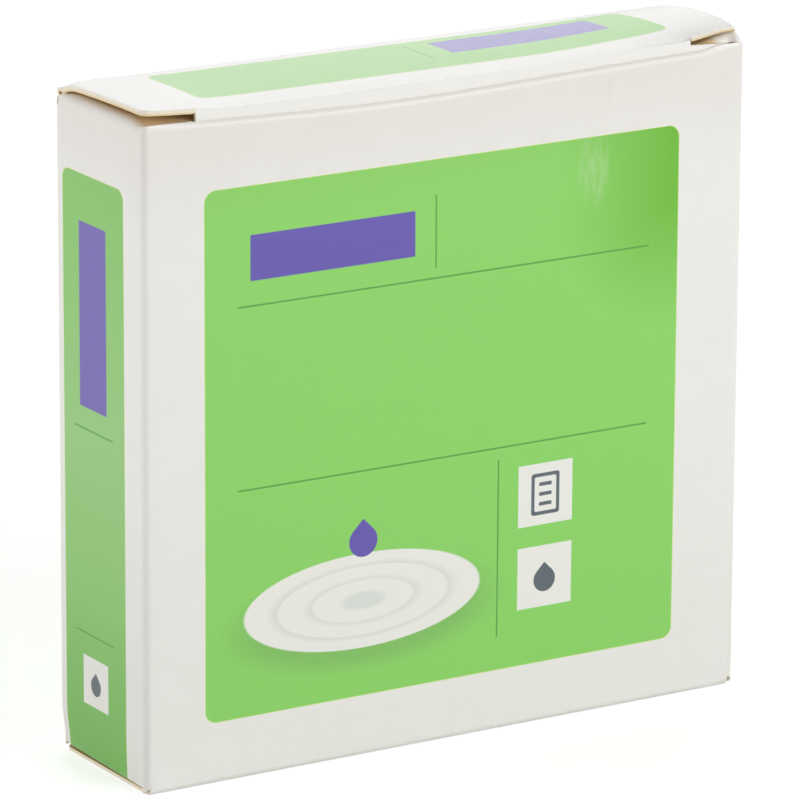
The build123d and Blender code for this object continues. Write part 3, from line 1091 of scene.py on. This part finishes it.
swell_top = shoulder_level - shoulder_round
swell_height = np.linspace(foot_round, swell_top, 25)
swell_share = (swell_height - swell_top / 2) / (swell_top / 2)
swell_r = skirt_r + (pot_r - skirt_r) * (1 - swell_share ** 2)
gate_low = foot_recess - 0.15  # the stub of the mould's gate
gate = [(0.0, gate_low), (0.7, gate_low), (0.9, foot_recess)]
groove_top = foot_recess + 0.12  # a shallow groove round the gate
base_steps = [(9.0, foot_recess), (9.15, groove_top), (9.6, groove_top), (9.75, foot_recess)]
inner_ring = skirt_r - foot_ring
base = [(inner_ring - 0.3, foot_recess), (inner_ring, foot_recess - 0.25), (inner_ring + 0.1, 0.0)]
pot_profile = [
    line_points(*gate, *base_steps, *base, (skirt_r - foot_round, 0.0)),
    np.column_stack([swell_r, swell_height]),
    bend_points((skirt_r - shoulder_round, swell_top), shoulder_round, 0, 90),
    line_points((neck_r + 0.3, shoulder_level), (neck_r, shoulder_level + 0.3)),
    bend_points((neck_r - rim_round, rim_level - rim_round), rim_round, 0, 90),
    bend_points((cup_r + rim_round, rim_level - rim_round), rim_round, 90, 180),
    bend_points((cup_r - cup_corner, cup_floor + cup_corner), cup_corner, 0, -90, 10),
    line_points((cup_r / 2, cup_floor), (0.0, cup_floor)),
]
pot = turned("jar_pot_moulding", pot_profile)


def moulded_skin_group():
    """Skin of a moulded plastic: a slow shade from the flow of the melt, and a fine spark-etched grain."""
    tree, given, result = new_group("moulded_skin", ["Grain"], ["Place"], ["Shade", "Height"])
    feed(result["Shade"], noise(given["Place"], 90.0, 2.0))
    feed(result["Height"], noise(given["Place"], 4200.0, 2.0) * given["Grain"])
    return tree


moulded_skin = moulded_skin_group()


def moulded(name, light, dark, grain, roughness):
    """White moulded plastic, satin, with a soft grain."""
    material, tree, shader = start_material(name)
    skin = use_group(moulded_skin, Place=object_place(tree), Grain=grain)
    shade = skin["Shade"]
    plastic = mixed(shade, colour(light), colour(dark))
    dress(shader, plastic, shade * 0.12 + roughness, skin["Height"], 0.2, 0.00005)
    shader.inputs["Subsurface Weight"].default_value = 0.15
    shader.inputs["Subsurface Radius"].default_value = (0.002, 0.002, 0.0018)
    return material


pot.data.materials.append(moulded("pot_plastic", "F3F3F0", "EBEBE7", 1.0, 0.34))
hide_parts("jar_pot")
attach(pot, "jar")

# The gel: a clear pale glycerine gel, poured in warm and set, so it clings a little way up the cup's wall.
# Its face is smooth with faint waves from the cooling.
gel_low, gel_high = box_mm("gel_fill")
gel_r = (gel_high[0] - gel_low[0]) / 2
gel_top = foot_y - gel_low[1]
gel_floor = foot_y - gel_high[1]
gel_out = np.linspace(gel_r, 0, 40)
cling_height = 0.35
cling_reach = 0.9
wave_height = 0.05
cling = cling_height * np.exp((gel_out - gel_r) / cling_reach)
gel_profile = [
    line_points((0.0, gel_floor), (gel_r / 2, gel_floor)),
    bend_points((gel_r - cup_corner, gel_floor + cup_corner), cup_corner, -90, 0, 10),
    np.column_stack([gel_out, gel_top - cling_height + cling]),
]


def gel_waves(radius, angle, height):
    """Faint waves on the gel's face, fading to nothing at the wall and below the face."""
    fade = unit(1 - (radius / gel_r) ** 4) * (height > gel_top - 0.5)
    across = np.sin(0.45 * radius * np.cos(angle + 0.6))
    along = np.cos(0.38 * radius * np.sin(angle) + 0.8)
    return wave_height * fade * across * along


gel = turned("gel_body", gel_profile, gel_waves)


def wet_gel():
    """Pale wet gel: a slow milky shade, a wet gloss and fine waves."""
    material, tree, shader = start_material("wet_gel")
    milk = noise(object_place(tree), 160.0, 4.0)
    dress(shader, mixed(milk, colour("EFF2EC"), colour("DBE3DA")), milk * 0.1 + 0.06, milk, 0.15, 0.0003)
    shader.inputs["Subsurface Weight"].default_value = 0.4
    shader.inputs["Subsurface Radius"].default_value = (0.004, 0.004, 0.004)
    return material


gel.data.materials.append(wet_gel())
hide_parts("gel_fill")
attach(gel, "jar")

# The lid: a push-on moulded cap of the same white plastic, with a sealing ring that goes inside the neck.
# Its top has a shallow round recess for a label.
lid_low, lid_high = box_mm("jar_lid")
label_low, label_high = box_mm("lid_label")
lid_r = (lid_high[0] - lid_low[0]) / 2
lid_seat = foot_y - lid_high[1]
lid_face = foot_y - lid_low[1]
lid_bore = neck_r + 0.08
lid_ceiling = lid_face - 1.4
lid_round = 1.0
label_r = (label_high[0] - label_low[0]) / 2
recess_r = label_r + 0.2
recess_level = foot_y - label_high[1]
plug_r = cup_r - 0.1
plug_inner = plug_r - 0.8
plug_end = lid_ceiling - 1.3
lid_profile = [
    line_points((0.0, lid_ceiling), (plug_inner - 0.2, lid_ceiling), (plug_inner, lid_ceiling - 0.2)),
    line_points((plug_inner, plug_end + 0.2), (plug_inner + 0.2, plug_end), (plug_r - 0.4, plug_end)),
    line_points((plug_r, plug_end + 0.5), (plug_r, lid_ceiling - 0.15), (plug_r + 0.15, lid_ceiling)),
    line_points((lid_bore - 0.2, lid_ceiling), (lid_bore, lid_ceiling - 0.2), (lid_bore, lid_seat + 0.25)),
    line_points((lid_bore + 0.2, lid_seat), (lid_r - 0.2, lid_seat), (lid_r, lid_seat + 0.2)),
    bend_points((lid_r - lid_round, lid_face - lid_round), lid_round, 0, 90),
    line_points((recess_r + 0.1, lid_face), (recess_r, lid_face - 0.1)),
    line_points((recess_r, recess_level), (0.0, recess_level)),
]
lid = turned("jar_lid_moulding", lid_profile)
lid.data.materials.append(moulded("lid_plastic", "F4F4F1", "ECECE8", 0.7, 0.28))
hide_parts("jar_lid")
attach(lid, "lid")

# The label: a round of coated paper, printed in the carton's colours and stuck in the lid's recess.
# It carries plain shapes only.
label_face = foot_y - label_low[1]
label_edge = 0.03
label_inner = label_r - label_edge
label_profile = [
    line_points((0.0, recess_level), (label_inner, recess_level), (label_r, recess_level + label_edge)),
    line_points((label_r, label_face - label_edge), (label_inner, label_face), (label_r / 2, label_face)),
    line_points((0.0, label_face)),
]
label = turned("lid_label_paper", label_profile)


def label_paper():
    """Printed label: a green round with a pale ring, a purple band and a white drop, on coated paper."""
    material, tree, shader = start_material("label_paper")
    place = object_place(tree)
    x, y, z = parts(place)
    where = (x / MM, axis_z - z / MM)
    grain = use_group(board_grain, Place=place, Fibre=0.5)
    tone = grain["Tone"]
    paper = mixed(tone, colour(PAPER), colour("E9E6DE"))
    for radius, ink in ((label_r - 0.5, GREEN), (label_r - 2.6, SQUARE), (label_r - 2.9, GREEN)):
        paper = stamp(paper, where, box_round((0.0, 0.0), radius), ink, radius)
    paper = stamp(paper, where, (-11.0, 11.0, 6.0, 11.0), PURPLE, 0.3)
    paper = drop(paper, where, (0.0, -1.5), 4.2, SQUARE)
    dress(shader, paper, tone * 0.1 + 0.38, grain["Height"], 0.1, 0.00005)
    return material


label.data.materials.append(label_paper())
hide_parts("lid_label")
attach(label, "lid")

# The studio: a seamless pale floor under soft light from the front, the left and behind, on a white ground.
# The camera stands where the photograph was taken from, on the carton's left with a long lens.
floor_half = 2500.0
floor_gap = 0.02
floor_place = np.array([[-1, -1, 0], [1, -1, 0], [1, 1, 0], [-1, 1, 0]], float) * floor_half
floor_place[:, 2] = cad_box[0][2] / MM - floor_gap
floor = make_mesh("studio_floor", floor_place, [[0, 1, 2, 3]])


def seen_directly(tree):
    """1 on camera, glossy and transmission rays, so that the ground looks white to them."""
    path = tree.nodes.new("ShaderNodeLightPath").outputs
    direct, glossy, through = (Signal(path[f"Is {ray} Ray"]) for ray in ("Camera", "Glossy", "Transmission"))
    return reckon("MAXIMUM", reckon("MAXIMUM", direct, glossy), through)


floor_material, floor_tree, floor_shader = start_material("studio_floor_paint")
floor_shader.inputs["Base Color"].default_value = colour("D2D2D0")
floor_shader.inputs["Roughness"].default_value = 0.9
floor_shader.inputs["Emission Color"].default_value = (1.0, 1.0, 1.0, 1.0)
floor_lift = 0.62
feed(floor_shader.inputs["Emission Strength"], seen_directly(floor_tree) * floor_lift)
floor.data.materials.append(floor_material)

world = bpy.data.worlds.new("studio")
bpy.context.scene.world = world
world.use_nodes = True
world_light = 0.22
ground = world.node_tree.nodes["Background"]
ground.inputs["Color"].default_value = (1.0, 1.0, 1.0, 1.0)
feed(ground.inputs["Strength"], seen_directly(world.node_tree) * (1.0 - world_light) + world_light)


def soft_box(name, place, size, power):
    """A square lamp, placed in metres and turned towards the carton's middle."""
    lamp = bpy.data.lights.new(name, "AREA")
    lamp.shape = "SQUARE"
    lamp.size = size
    lamp.energy = power
    holder = bpy.data.objects.new(name, lamp)
    aim = np.array([0.0, 0.0, 0.035]) - np.array(place)
    turn = math.atan2(-aim[0], aim[1])
    tilt = math.acos(-aim[2] / np.linalg.norm(aim))
    holder.location = place
    holder.rotation_euler = (tilt, 0.0, turn)
    holder.visible_camera = False
    bpy.context.scene.collection.objects.link(holder)


soft_box("soft_box_front", (0.45, -1.05, 0.42), 0.8, 10.3)
soft_box("soft_box_left", (-1.1, 0.4, 0.22), 0.8, 10.7)
soft_box("soft_box_behind", (0.6, 0.95, 0.6), 0.8, 3.8)

camera_data = bpy.data.cameras.new("camera")
camera_data.sensor_width = 36.0
camera_data.lens = 302.21
camera = bpy.data.objects.new("camera", camera_data)
camera.location = (-0.35398, -0.57361, 0.22688)
camera.rotation_euler = (math.radians(74.091), math.radians(-0.297), math.radians(-31.57))
bpy.context.scene.collection.objects.link(camera)
bpy.context.scene.camera = camera
bpy.context.scene.view_settings.view_transform = "Standard"
